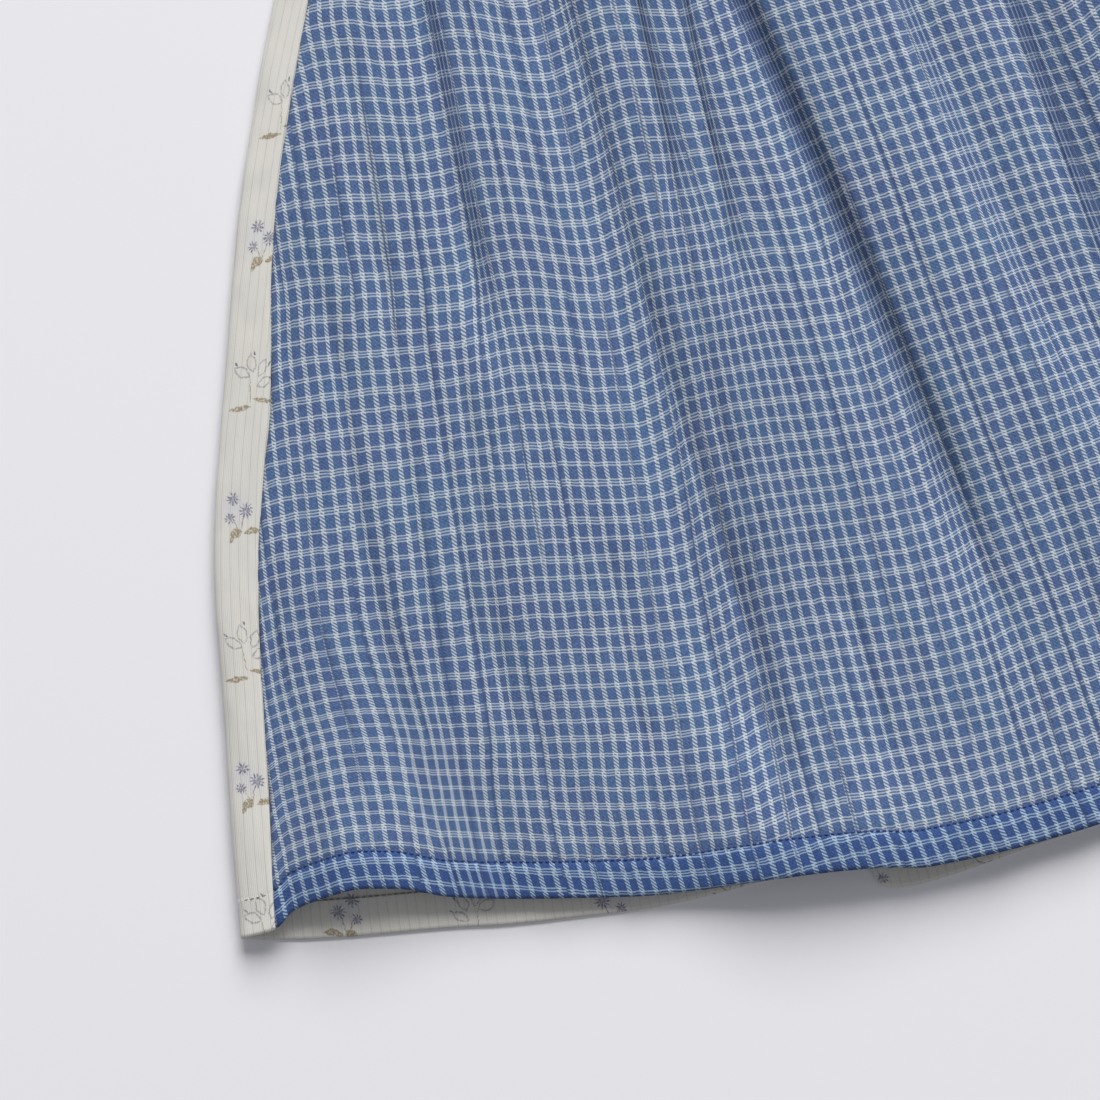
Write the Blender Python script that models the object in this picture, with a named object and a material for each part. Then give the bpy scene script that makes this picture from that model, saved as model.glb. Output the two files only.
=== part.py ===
"""Gathered knee-length skirt laid flat with its front up, as one rigid shape.

X runs across the skirt, Y from hem to waist, and Z up from the surface it lies on.
The front's crinkle draws it in, so the smooth back wraps round both side folds on to
the top, and both side seams lie a little in from the folds.
All sizes are in millimetres until a mesh is made.
"""
from collections import namedtuple

import bpy
import numpy as np

MM = 0.001

# Driving sizes
WAIST_SEAM = 478.0        # height of the seam between panels and waistband
BAND_HEIGHT = 38.0        # waistband, of two cloths with elastic between them
BAND_WALL = 3.0
CLOTH = 1.5               # a panel's wall
HEM_DEPTH = 16.0          # turned-up hem, two cloths thick
HEM_WALL = 2.1
SEAM_GAP = 0.3            # between two pieces that are sewn together
LAYER_GAP = 0.7           # between the front and the back where they touch
UNDER_ARC = 7.0           # how far the fold's lower curve runs in from the edge

# The laid skirt, from below the hem to the top of the band.
# half: from the middle to a side fold; strip: from the fold in to the side seam;
# loop: height of the rolled fold
Section = namedtuple("Section", "y half strip loop")
SECTIONS = [
    Section(-60, 360, 15.0, 11.5),
    Section(0, 350, 15.2, 11.5),
    Section(60, 338.3, 17.6, 11.2),
    Section(96, 330.7, 18.0, 10.9),
    Section(125, 324.5, 18.5, 10.8),
    Section(152, 318.2, 20.4, 10.6),
    Section(180, 310.4, 22.4, 10.4),
    Section(207, 301.0, 23.8, 10.3),
    Section(235, 290.3, 21.5, 10.1),
    Section(273, 275.9, 18.0, 9.8),
    Section(310, 261.0, 17.0, 9.5),
    Section(340, 247.7, 17.8, 9.2),
    Section(384, 226.0, 17.0, 9.0),
    Section(430, 199, 14, 9.0),
    Section(478, 168, 10, 9.0),
    Section(520, 165, 10, 9.0),
]

HEM_SECTION = 1           # the row of that table which is level with the hem's corners

# The hem, from the left fold to the right one.
# front, back: where each hem lies; lift: how far the front hem stands off the back
Hem = namedtuple("Hem", "x front back lift")
HEMS = [
    Hem(-350, 1, -2, 9), Hem(-335, 0, -6, 9), Hem(-324, 6, -9, 11),
    Hem(-301, 8, -14, 15), Hem(-280, 3, -18, 13), Hem(-260, -7, -22, 8),
    Hem(-243, -13, -26, 5), Hem(-215, -21, -31, 4), Hem(-164, -33, -38, 5),
    Hem(-137, -36, -39, 11), Hem(-112, -39, -38, 15), Hem(-84, -44, -39, 15),
    Hem(-80, -45, -55, 14), Hem(-57, -51, -59, 11), Hem(0, -54, -56, 9),
    Hem(80, -49, -54, 5), Hem(150, -40, -46, 14), Hem(220, -24, -34, 6),
    Hem(290, -4, -17, 14), Hem(335, 2, -6, 9), Hem(350, 1, -2, 9),
]

# Height of the front's crests over the surface, between its side seams
Loft = namedtuple("Loft", "y crest")
LOFTS = [
    Loft(-60, 6), Loft(60, 10), Loft(160, 13), Loft(300, 14), Loft(400, 13), Loft(478, 9),
]

# Long folds, each a trough from its top to its low end.
# bow: sideways bend at its middle; drop: depth; left, right: how far each bank runs
Fold = namedtuple("Fold", "x_top y_top x_low y_low bow drop left right")
FRONT_FOLDS = [
    Fold(-161, 440, -178, 225, 0, 7.0, 20, 8),
    Fold(-109, 450, -114, 25, 0, 12.0, 17, 13),
    Fold(-70, 430, -83, 250, 0, 5.5, 12, 6),
    Fold(-52, 390, -68, 215, 0, 5.0, 11, 6),
    Fold(-49, 440, -1, 60, 5, 14.0, 22, 6),
    Fold(26, 430, 60, 130, -3, 7.0, 9, 18),
    Fold(70, 445, 112, -60, -6, 11.0, 12, 20),
    Fold(98, 420, 150, 210, 0, 5.5, 8, 14),
    Fold(122, 440, 226, 40, -6, 9.0, 8, 22),
]
BACK_FOLDS = [
    Fold(-118, 440, -212, 60, 4, 2.5, 10, 7),
    Fold(-62, 420, -76, -70, 0, 4.0, 7, 7),
    Fold(10, 445, 22, 120, 3, 2.6, 9, 7),
    Fold(86, 430, 140, 20, -4, 3.0, 8, 10),
    Fold(140, 430, 238, 90, 0, 2.3, 8, 9),
]
FOLD_ROUND = 2.0          # radius of a trough's floor
FOLD_FADE = 0.14          # share of its length in which a fold starts or ends
BACK_RESTS = 0.35         # a back fold shallower than this stays flat on the surface
TOUCH_SOFT = 2.0          # roundness, in square millimetres, where the front meets the back
HEM_INFLUENCE = 75.0      # height over which the hem's lift dies out
SEAM_REACH = 34.0         # width over which a panel levels to the side seam's height
FOLD_SIDE = 14.0          # width over which the back's folds die out at a side fold

# Gathers under the waist seam
FRONT_GATHERS = 24
BACK_GATHERS = 22
GATHER_AT_SEAM = 0.9      # half height of a wave in the seam
GATHER_FULL = 2.1         # and where it is fullest
GATHER_OPEN = 16.0        # distance down in which the waves open
GATHER_REACH = 78.0       # distance down in which they die out
GATHER_UNEVEN = 0.2       # share by which their heights vary
END_SPACE = 0.012         # least share of the width between a gather's column and an edge
BAND_RIPPLES = 24
BAND_RIPPLE = 0.5
BAND_PROUD = 0.6          # how far the band stands above the panel's fold

# Mesh steps: rows up both panels, so that their seams meet, then columns across them
ROWS = [0, 16, 17, 42, 76, 114, 154, 196, 238, 280, 318]
GATHERED_ROWS = [352, 386, 416, 441, 461, WAIST_SEAM - SEAM_GAP / 2]
FRONT_COLUMNS = 64
BACK_COLUMNS = 34
ARC_STEPS = 7
SHARP_EDGE = 0.9          # angle, in radians, past which an edge is shown sharp
BLUE_GAUZE = (0.11, 0.17, 0.30)
CREAM_COTTON = (0.70, 0.67, 0.60)


def smooth_through(xs, ys, at):
    """Cubic pieces through the points, with no overshoot between them."""
    xs = np.asarray(xs, float)
    ys = np.asarray(ys, float)
    step = np.diff(xs)
    rise = np.diff(ys) / step
    before, after = rise[:-1], rise[1:]
    near, far = 2 * step[1:] + step[:-1], step[1:] + 2 * step[:-1]
    same_way = before * after > 0
    safe_before = np.where(same_way, before, 1.0)
    safe_after = np.where(same_way, after, 1.0)
    mean = (near + far) / (near / safe_before + far / safe_after)
    slope = np.concatenate([rise[:1], np.where(same_way, mean, 0.0), rise[-1:]])
    at = np.clip(at, xs[0], xs[-1])
    i = np.clip(np.searchsorted(xs, at) - 1, 0, len(xs) - 2)
    f = (at - xs[i]) / step[i]
    return ((1 + 2 * f) * (1 - f) ** 2 * ys[i] + f * (1 - f) ** 2 * step[i] * slope[i]
            + f * f * (3 - 2 * f) * ys[i + 1] + f * f * (f - 1) * step[i] * slope[i + 1])


def column(rows, key, name, at):
    """One named column of a table, read smoothly along its key column."""
    return smooth_through([getattr(row, key) for row in rows],
                          [getattr(row, name) for row in rows], at)


def ease(value):
    """Smooth step from 0 to 1."""
    value = np.clip(value, 0.0, 1.0)
    return value * value * (3 - 2 * value)


def trough(fold, x, y):
    """Depth of a fold at a point: a V with a round floor, fading at both ends."""
    run = (fold.y_top - y) / (fold.y_top - fold.y_low)
    held = np.clip(run, 0.0, 1.0)
    centre = fold.x_top + (fold.x_low - fold.x_top) * run + fold.bow * 4 * held * (1 - held)
    across = x - centre
    bank = np.where(across > 0, fold.right, fold.left)
    far = np.sqrt(across ** 2 + FOLD_ROUND ** 2) - FOLD_ROUND
    ends = ease((run + FOLD_FADE) / (2 * FOLD_FADE)) * ease((1 + FOLD_FADE - run) / (2 * FOLD_FADE))
    return fold.drop * ends * np.exp(-far / bank)


def wave_phase(s, count):
    """Angle of the gathers at share s of the half width, with an uneven pitch."""
    return count * np.pi * (s + 1) + 1.2 * np.sin(5.3 * s) + 0.8 * np.sin(12.1 * s + 1)


def gathers(s, y, count):
    """Height of the gathers: they open below the seam, then die out."""
    below = WAIST_SEAM - y
    open_up = GATHER_AT_SEAM + (GATHER_FULL - GATHER_AT_SEAM) * ease(below / GATHER_OPEN)
    uneven = 1 - GATHER_UNEVEN * (1 - np.sin(7.7 * s + 0.4))
    return open_up * uneven * np.exp(-(below / GATHER_REACH) ** 2) * np.sin(wave_phase(s, count))


def gather_columns(count, per_wave, low, high):
    """Shares of the half width at the waves' crests, floors and the points between."""
    s = np.linspace(-1.2, 1.2, 4000)
    phase = wave_phase(s, count)
    marks = np.arange(np.ceil(phase[0] * per_wave / (2 * np.pi)),
                      phase[-1] * per_wave / (2 * np.pi)) * 2 * np.pi / per_wave
    at = np.interp(marks, phase, s)
    inside = at[(at > low + END_SPACE) & (at < high - END_SPACE)]
    return np.concatenate([[low], inside, [high]])


def back_lift(s, x, y):
    """Height of the back panel's underside: flat on the floor between its folds."""
    lift = sum(trough(fold, x, y) for fold in BACK_FOLDS)
    return np.maximum(lift - BACK_RESTS, 0) + np.maximum(gathers(s, y, BACK_GATHERS), 0)


def front_mid(s, x, y, above_hem, half_wall):
    """Height of the front panel's middle surface over the floor."""
    crest = column(LOFTS, "y", "crest", y)
    hem = CLOTH + LAYER_GAP + half_wall + column(HEMS, "x", "lift", s * SECTIONS[HEM_SECTION].half)
    near_hem = np.exp(-(above_hem / HEM_INFLUENCE) ** 1.5)
    height = crest + (hem - crest) * near_hem
    height = height - sum(trough(fold, x, y) for fold in FRONT_FOLDS)
    height = height + gathers(s, y, FRONT_GATHERS)
    lowest = back_lift(s, x, y) + CLOTH + LAYER_GAP + half_wall
    over = height - lowest
    return lowest + 0.5 * (over + np.sqrt(over ** 2 + TOUCH_SOFT))


def wall_half(above_hem):
    """Half the wall's thickness: the turned hem is thicker."""
    return np.where(above_hem <= HEM_DEPTH, HEM_WALL, CLOTH) / 2


def row_height(hem_y, row):
    """Height of a row: level with the hem's curve low down, level with the waist on top."""
    return hem_y + row - hem_y * ease(row / WAIST_SEAM)


def side(row):
    """Half width, strip width and fold height of the tube at a row."""
    return [column(SECTIONS, "y", name, row) for name in ("half", "strip", "loop")]


def fold_arc(half, over, under, top, low, steps):
    """The rolled fold on the right, from the top inner end down to the underside.

    Two quarter ellipses: over and under say how far they run in from the fold.
    """
    angle = np.linspace(np.pi / 2, -np.pi / 2, steps + 1)
    middle = (top + low) / 2
    reach = np.where(angle > 0, over, under)
    return half - reach * (1 - np.cos(angle)), middle + (top - low) / 2 * np.sin(angle)


def seam_blend(x, inner):
    """1 at a side seam, 0 from a few finger widths in."""
    return 1 - ease((inner - np.abs(x)) / SEAM_REACH)


def hem_share(x, half):
    """Where a point's lengthwise line meets the hem, measured across the hem."""
    return x / half * SECTIONS[HEM_SECTION].half


def front_row(row, shares):
    """Middle line of the front panel at one row, from its left seam to its right one."""
    half, strip, loop = side(row)
    wall = float(wall_half(row))
    inner = half - strip
    x = shares * (inner - SEAM_GAP / 2)
    y = row_height(column(HEMS, "x", "front", hem_share(x, half)), row)
    z = front_mid(x / half, x, y, row, wall)
    z = z + (loop - wall - z) * seam_blend(x, inner)
    return shares, x, y, z, wall


def back_row(row, shares):
    """Middle line of the back panel, from seam to seam round both folds and beneath."""
    half, strip, loop = side(row)
    wall = float(wall_half(row))
    arc_x, arc_z = fold_arc(half, strip, UNDER_ARC, loop - wall, wall, ARC_STEPS)
    arc_x[0] += SEAM_GAP / 2
    edge = half - UNDER_ARC
    x = shares * edge
    y = row_height(column(HEMS, "x", "back", hem_share(x, half)), row)
    z = wall + back_lift(x / half, x, y) * ease((edge - np.abs(x)) / FOLD_SIDE)
    x = np.concatenate([-arc_x[:-1], x, arc_x[-2::-1]])
    z = np.concatenate([arc_z[:-1], z, arc_z[-2::-1]])
    down = np.linspace(0, 1, ARC_STEPS + 1)[:-1]
    turn = np.concatenate([down, np.ones(len(shares)), down[::-1]])
    hem_x = hem_share(x, half)
    hem_y = ((1 - turn) * column(HEMS, "x", "front", hem_x)
             + turn * column(HEMS, "x", "back", hem_x))
    order = np.concatenate([down - 2, shares, 2 - down[::-1]])
    return order, x, row_height(hem_y, row), z, wall


def both_faces(x, y, z, wall, clockwise):
    """The two faces of a wall, half its thickness to each side of its middle line.

    A line that runs clockwise round the skirt has its outer side on its left.
    """
    along_x, along_z = np.gradient(x), np.gradient(z)
    length = np.hypot(along_x, along_z) * (1 if clockwise else -1)
    out_x, out_z = -along_z / length, along_x / length
    outer = np.column_stack([x + out_x * wall, y, np.maximum(z + out_z * wall, 0)])
    inner = np.column_stack([x - out_x * wall, y, z - out_z * wall])
    return outer, inner


def zip_rows(order_a, first_a, order_b, first_b):
    """Triangles between two rows that may have different numbers of points."""
    i = j = 0
    faces = []
    while i < len(order_a) - 1 or j < len(order_b) - 1:
        next_a = order_a[i + 1] if i < len(order_a) - 1 else np.inf
        next_b = order_b[j + 1] if j < len(order_b) - 1 else np.inf
        if next_a <= next_b:
            faces.append((first_a + i, first_a + i + 1, first_b + j))
            i += 1
        else:
            faces.append((first_a + i, first_b + j + 1, first_b + j))
            j += 1
    return faces


def strip_between(a, b):
    """Triangles between two lists of the same number of points."""
    faces = []
    for k in range(len(a) - 1):
        faces += [(a[k], a[k + 1], b[k]), (a[k + 1], b[k + 1], b[k])]
    return faces


def wall_from_rows(rows, clockwise):
    """Wall with an outer face, an inner face and four edges, all facing out."""
    points, starts, orders = [], [], []
    total = 0
    for order, x, y, z, wall in rows:
        outer, inner = both_faces(x, y, z, wall, clockwise)
        starts.append((total, total + len(outer)))
        points += [outer, inner]
        total += 2 * len(outer)
        orders.append(order)
    faces = []
    for k in range(len(rows) - 1):
        outer = zip_rows(orders[k], starts[k][0], orders[k + 1], starts[k + 1][0])
        inner = zip_rows(orders[k], starts[k][1], orders[k + 1], starts[k + 1][1])
        faces += outer + [face[::-1] for face in inner]
    count = [len(order) for order in orders]
    first = strip_between(range(starts[0][1], starts[0][1] + count[0]),
                          range(starts[0][0], starts[0][0] + count[0]))
    last = strip_between(range(starts[-1][0], starts[-1][0] + count[-1]),
                         range(starts[-1][1], starts[-1][1] + count[-1]))
    left = strip_between([start[0] for start in starts], [start[1] for start in starts])
    right = strip_between([start[1] + n - 1 for start, n in zip(starts, count)],
                          [start[0] + n - 1 for start, n in zip(starts, count)])
    faces += first + last + left + right
    return np.concatenate(points), faces if clockwise else [face[::-1] for face in faces]


def band_ripple(count):
    """Zigzag of the elastic's puckers, level at both ends."""
    ripple = BAND_RIPPLE * np.where(np.arange(count) % 2, 1.0, -1.0)
    ripple[[0, -1]] = 0
    return ripple


def band_front_row(y):
    """Middle line of the front waistband, between its two side seams."""
    half, strip, loop = side(y)
    inner = half - strip - SEAM_GAP / 2
    x = np.linspace(-inner, inner, 2 * BAND_RIPPLES + 1)
    z = loop + BAND_PROUD - BAND_WALL / 2 + band_ripple(len(x))
    return np.arange(len(x)), x, np.full(len(x), y), z, BAND_WALL / 2


def band_back_row(y):
    """Middle line of the back waistband, from seam to seam round both folds."""
    half, strip, loop = side(y)
    low = BAND_WALL / 2
    top = loop + BAND_PROUD - low
    reach = (top - low) / 2
    seam = half - strip + SEAM_GAP / 2
    arc_x, arc_z = fold_arc(half, reach, reach, top, low, ARC_STEPS)
    x = np.linspace(reach - half, half - reach, 2 * BAND_RIPPLES + 1)
    z = low + np.maximum(band_ripple(len(x)), 0)
    x = np.concatenate([[-seam], -arc_x[:-1], x, arc_x[-2::-1], [seam]])
    z = np.concatenate([[top], arc_z[:-1], z, arc_z[-2::-1], [top]])
    return np.arange(len(x)), x, np.full(len(x), y), z, low


def cloth_material(name, colour, roughness):
    """Plain woven cotton in one colour."""
    material = bpy.data.materials.new(name)
    material.use_nodes = True
    shader = material.node_tree.nodes["Principled BSDF"]
    shader.inputs["Base Color"].default_value = (*colour, 1)
    shader.inputs["Roughness"].default_value = roughness
    shader.inputs["Metallic"].default_value = 0.0
    material.diffuse_color = (*colour, 1)
    return material


def add_piece(name, points, faces, material):
    """One named solid, its points turned from millimetres to metres."""
    mesh = bpy.data.meshes.new(name)
    mesh.from_pydata((np.asarray(points) * MM).tolist(), [], [tuple(map(int, f)) for f in faces])
    mesh.materials.append(material)
    mesh.shade_smooth()
    mesh.set_sharp_from_angle(angle=SHARP_EDGE)
    piece = bpy.data.objects.new(name, mesh)
    bpy.context.scene.collection.objects.link(piece)
    return piece


def front_panel():
    """Checked gauze front, between the two seams on top."""
    even = np.linspace(-1, 1, FRONT_COLUMNS + 1)
    waved = gather_columns(FRONT_GATHERS, 4, -1, 1)
    rows = [front_row(row, even.copy()) for row in ROWS]
    rows += [front_row(row, waved.copy()) for row in GATHERED_ROWS]
    points, faces = wall_from_rows(rows, True)
    return add_piece("front_panel", points, faces,
                     cloth_material("checked_gauze", BLUE_GAUZE, 0.9))


def back_panel():
    """Cream back, under the whole skirt and round both folds to the seams on top."""
    even = np.linspace(-1, 1, BACK_COLUMNS + 1)
    waved = gather_columns(BACK_GATHERS, 3, -1, 1)
    rows = [back_row(row, even) for row in ROWS]
    rows += [back_row(row, waved) for row in GATHERED_ROWS]
    points, faces = wall_from_rows(rows, False)
    return add_piece("back_panel", points, faces,
                     cloth_material("cream_cotton", CREAM_COTTON, 0.85))


def waistband(name, band_row, clockwise, colour):
    """One half of the gathered casing, sewn to its panel and to the other half."""
    low = WAIST_SEAM + SEAM_GAP / 2
    high = WAIST_SEAM + BAND_HEIGHT
    rows = [band_row(y) for y in (low, (low + high) / 2, high)]
    points, faces = wall_from_rows(rows, clockwise)
    return add_piece(name, points, faces, cloth_material(name + "_cloth", colour, 0.9))


def main():
    for old in list(bpy.data.objects):
        bpy.data.objects.remove(old, do_unlink=True)
    front_panel()
    back_panel()
    waistband("waistband_front", band_front_row, True, BLUE_GAUZE)
    waistband("waistband_back", band_back_row, False, CREAM_COTTON)


main()
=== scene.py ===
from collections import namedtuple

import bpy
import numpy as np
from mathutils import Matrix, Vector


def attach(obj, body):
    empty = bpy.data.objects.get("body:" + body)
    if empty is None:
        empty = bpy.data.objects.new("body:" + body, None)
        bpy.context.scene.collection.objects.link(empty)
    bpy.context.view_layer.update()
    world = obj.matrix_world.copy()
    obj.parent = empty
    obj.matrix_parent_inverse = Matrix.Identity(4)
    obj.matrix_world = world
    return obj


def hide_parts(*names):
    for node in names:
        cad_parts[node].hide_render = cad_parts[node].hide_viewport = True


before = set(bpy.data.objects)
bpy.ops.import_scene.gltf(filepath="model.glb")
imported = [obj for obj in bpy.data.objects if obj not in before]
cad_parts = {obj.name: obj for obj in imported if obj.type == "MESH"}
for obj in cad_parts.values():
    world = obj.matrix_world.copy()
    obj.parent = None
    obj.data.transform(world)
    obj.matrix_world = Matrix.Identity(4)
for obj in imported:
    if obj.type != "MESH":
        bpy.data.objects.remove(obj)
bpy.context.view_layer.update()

# Looks of a gathered skirt laid flat: fine cloth over the laid solids, with its weave,
# print and sewing. Shapes are worked out in millimetres, with X across the skirt, Y from
# hem to waist and Z up, and turned to metres when a mesh is made.

MM = 0.001

# Sizes of the laid skirt, as its solids have them
WAIST_SEAM = 478.0
BAND_HEIGHT = 38.0
BAND_WALL = 3.0
CLOTH = 1.5
HEM_DEPTH = 16.0
HEM_WALL = 2.1
SEAM_GAP = 0.3
LAYER_GAP = 0.7
UNDER_ARC = 7.0
BAND_PROUD = 0.6
ARC_STEPS = 26            # points round the back's rolled fold
BAND_ARC_STEPS = 12       # and round the waistband's

Section = namedtuple("Section", "y half strip loop")
SECTIONS = [
    Section(-60, 360, 15.0, 11.5),
    Section(0, 350, 15.2, 11.5),
    Section(60, 338.3, 17.6, 11.2),
    Section(96, 330.7, 18.0, 10.9),
    Section(125, 324.5, 18.5, 10.8),
    Section(152, 318.2, 20.4, 10.6),
    Section(180, 310.4, 22.4, 10.4),
    Section(207, 301.0, 23.8, 10.3),
    Section(235, 290.3, 21.5, 10.1),
    Section(273, 275.9, 18.0, 9.8),
    Section(310, 261.0, 17.0, 9.5),
    Section(340, 247.7, 17.8, 9.2),
    Section(384, 226.0, 17.0, 9.0),
    Section(430, 199, 14, 9.0),
    Section(478, 168, 10, 9.0),
    Section(520, 165, 10, 9.0),
]

HEM_SECTION = 1           # the row of that table which is level with the hem's corners

Hem = namedtuple("Hem", "x front back lift")
HEMS = [
    Hem(-350, 1, -2, 9), Hem(-335, 0, -6, 9), Hem(-324, 6, -9, 11),
    Hem(-301, 8, -14, 15), Hem(-280, 3, -18, 13), Hem(-260, -7, -22, 8),
    Hem(-243, -13, -26, 5), Hem(-215, -21, -31, 4), Hem(-164, -33, -38, 5),
    Hem(-137, -36, -39, 11), Hem(-112, -39, -38, 15), Hem(-84, -44, -39, 15),
    Hem(-80, -45, -55, 14), Hem(-57, -51, -59, 11), Hem(0, -54, -56, 9),
    Hem(80, -49, -54, 5), Hem(150, -40, -46, 14), Hem(220, -24, -34, 6),
    Hem(290, -4, -17, 14), Hem(335, 2, -6, 9), Hem(350, 1, -2, 9),
]
HEM_LOWEST = min(hem.front for hem in HEMS)
HEM_REACH = 75.0          # how far up the front the hem's own lift is felt
SEAM_REACH = 34.0         # and how far in from a side seam the fold's height is

Loft = namedtuple("Loft", "y crest")
LOFTS = [
    Loft(-60, 6), Loft(60, 10), Loft(160, 13), Loft(300, 14), Loft(400, 13), Loft(478, 9),
]

# Long folds: troughs from a top point to a low one. bow: bend; drop: depth; left, right:
# how far each bank runs. The front's fifth is shallower than in its solid, as the photo's
# shadow there is light
Fold = namedtuple("Fold", "x_top y_top x_low y_low bow drop left right")
FRONT_FOLDS = [
    Fold(-161, 440, -178, 225, 0, 7.0, 20, 8),
    Fold(-109, 450, -114, 25, 0, 12.0, 17, 13),
    Fold(-70, 430, -83, 250, 0, 5.5, 12, 6),
    Fold(-52, 390, -68, 215, 0, 5.0, 11, 6),
    Fold(-49, 440, -1, 60, 5, 9.5, 22, 6),
    Fold(26, 430, 60, 130, -3, 7.0, 9, 18),
    Fold(70, 445, 112, -60, -6, 11.0, 12, 20),
    Fold(98, 420, 150, 210, 0, 5.5, 8, 14),
    Fold(122, 440, 226, 40, -6, 9.0, 8, 22),
]
# Narrow creases, too fine for the solids
CREASES = [
    Fold(-241, 250, -261, 40, -2, 2.2, 4, 2.5),
    Fold(-212, 270, -241, 74, 0, 1.8, 4, 2.5),
    Fold(-153, 112, -163, 30, 0, 2.2, 3.5, 2.5),
    Fold(-204, 235, -219, 75, 0, 1.9, 4, 3),
    Fold(-190, 235, -214, 55, 0, 2.0, 4, 3),
    Fold(-204, 350, -216, 250, 0, 1.5, 4, 3),
    Fold(-62, 75, -61, -6, 0, 1.8, 4, 3),
    Fold(-102, 100, -107, -10, 0, 2.0, 3, 2.5),
    Fold(-128, 420, -140, 330, 0, 1.6, 4, 3),
    Fold(-86, 240, -92, 130, 0, 1.5, 3, 3),
    Fold(-30, 240, -24, 120, 0, 1.8, 3, 4),
    Fold(34, 110, 40, -20, 0, 1.8, 3, 4),
    Fold(66, 200, 78, 80, 0, 1.6, 3, 4),
    Fold(164, 120, 178, 10, 0, 2.0, 3, 4),
    Fold(196, 250, 230, 120, 0, 2.0, 3, 4),
    Fold(222, 300, 268, 60, 0, 2.2, 2.5, 4),
]
BACK_FOLDS = [
    Fold(-118, 440, -212, 60, 4, 2.5, 10, 7),
    Fold(-62, 420, -76, -70, 0, 4.0, 7, 7),
    Fold(10, 445, 22, 120, 3, 2.6, 9, 7),
    Fold(86, 430, 140, 20, -4, 3.0, 8, 10),
    Fold(140, 430, 238, 90, 0, 2.3, 8, 9),
]
FOLD_ROUND = 2.0
FOLD_FADE = 0.14

# Banks that lean over their fold's floor; over: how far; wide: width of cloth that leans
Lean = namedtuple("Lean", "fold over wide")
LEANS = [
    Lean(4, -4.5, 9.0), Lean(1, -4.0, 9.0), Lean(2, -2.5, 5.0), Lean(3, -2.5, 5.0),
    Lean(6, 5.0, 10.0), Lean(8, 6.0, 10.0),
]
LEAN_BACK = 26.0          # width over which the cloth beside a leaning bank is drawn along

# Soft broad troughs of the fine cloth, beside the solids' own folds
SOFT_FOLDS = [
    Fold(-109, 420, -110, 20, 0, 5.0, 22, 8),
    Fold(60, 330, 92, 90, 0, 3.0, 30, 14),
]

# Cloth hidden at the top of each long fold; aside: how far from its floor the stripes
# crowd; width: of the crowded strip
Tuck = namedtuple("Tuck", "fold hidden aside width")
TUCKS = [
    Tuck(0, 20, 5, 8), Tuck(1, 12, 5, 16), Tuck(2, 22, 4, 9), Tuck(3, 18, 4, 9),
    Tuck(4, 36, -2, 9), Tuck(5, 14, -4, 9), Tuck(6, 30, 2, 9), Tuck(7, 16, -4, 8),
    Tuck(8, 34, 2, 9),
]
TUCK_END = -60.0          # height at which all of it is let out
TUCK_SPREAD = 70.0        # how much wider the crowded strip is below the fold's end
CREASE_WIDTH = 3.0
CREASE_TUCK = 1.1         # cloth that a crease hides, for each millimetre of its depth
CREASE_PULL = 24.0        # width over which the cloth beside a crease is drawn in
DEEP_FOLD = 4             # the warp runs straight up the skirt a little left of this fold
BESIDE = 14.0             # how far left

# How far the weft dips toward the hem beside a long fold; aside: where, from its floor
Dip = namedtuple("Dip", "fold deep wide aside")
DIPS = [
    Dip(0, 3.5, 16, -12), Dip(1, 8.0, 22, -15), Dip(3, 3.0, 12, -7), Dip(4, 5.5, 20, -19),
    Dip(6, 6.5, 22, 16), Dip(8, 5.0, 20, 18),
]
DIP_END = 1.35            # where a dip has died out, in lengths of its fold
BACK_SAG = 60.0           # how much lower the back's weft lies in the middle than at the sides
WEFT_ARC = 31.0           # the same of the front's
WEFT_BEND = 1.6           # power by which the weft rises to the sides
WEFT_HEM = 75.0           # how far up the front the weft follows the hem
ROPING = 0.13             # slant of the turned hem, drawn along as it is sewn
HEM_SLANT = 11.0          # how far the stripes run out to the sides near the hem
SLANT_FROM = 125.0        # and from what height down

# Where the seam puckers the front's edge; tight: 1 is the tightest
Pucker = namedtuple("Pucker", "y reach tight")
PUCKERS = [Pucker(108, 42, 1.0), Pucker(262, 34, 0.8), Pucker(20, 22, 0.6)]
EDGE_CROWD = 6.5          # cloth that a pucker hides, and the width that it is drawn in from
EDGE_GROOVE = 6.5         # how far in from the edge the pucker's groove lies

FRONT_GATHERS = 24
BACK_GATHERS = 22
GATHER_AT_SEAM = 0.9
GATHER_FULL = 2.1
GATHER_OPEN = 16.0
GATHER_REACH = 78.0

# Fine cloth
FINE_CLOTH = 0.7          # thickness of the woven cloth
FINE_HEM = 1.3            # and of the turned hem
FRONT_EASE = 1.16         # cloth in the crinkle, for each millimetre laid
FRONT_GRID = (208, 237)   # rows and columns
BACK_GRID = (150, 270)
BAND_GRID = (22, 620)
BAND_WAVES = 58           # small waves of the ruched casing across each half
BAND_EASE = 1.75          # cloth in them, for each millimetre laid
CASING_FRONT = 1.6        # thickness of the casing's doubled cloth, on top
CASING_BACK = 1.2         # and underneath

# Sewing
STITCH_PITCH = 2.8
FRONT_STITCH = (2.1, 0.42)    # length and radius
BACK_STITCH = (2.0, 0.2)
STITCH_ROWS = HEM_DEPTH + np.array([-0.4, 0.0, 0.4])      # beside, on and beside the sewn line

# Camera, over the part that the photo shows
FRAME_WIDTH = 475.2       # millimetres of floor across the picture
CAMERA_HEIGHT = 1100.0
CAMERA_OVER = (-177.5, 123.6)
CAMERA_ROLL = np.radians(16.0)

# Light and floor
KEY_PLACE = (1870.0, 10900.0)     # to the picture's right, and up it
KEY_HEIGHT = 7330.0
KEY_SIZE = 8000.0
KEY_POWER = 2490.0
KEY_TINT = (1.0, 0.99, 0.975)
ROOM_TINT = (0.94, 0.95, 1.0, 1.0)
ROOM_STRENGTH = 0.33
FLOOR_HALF = 6000.0
FLOOR_LEVEL = -0.25


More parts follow.
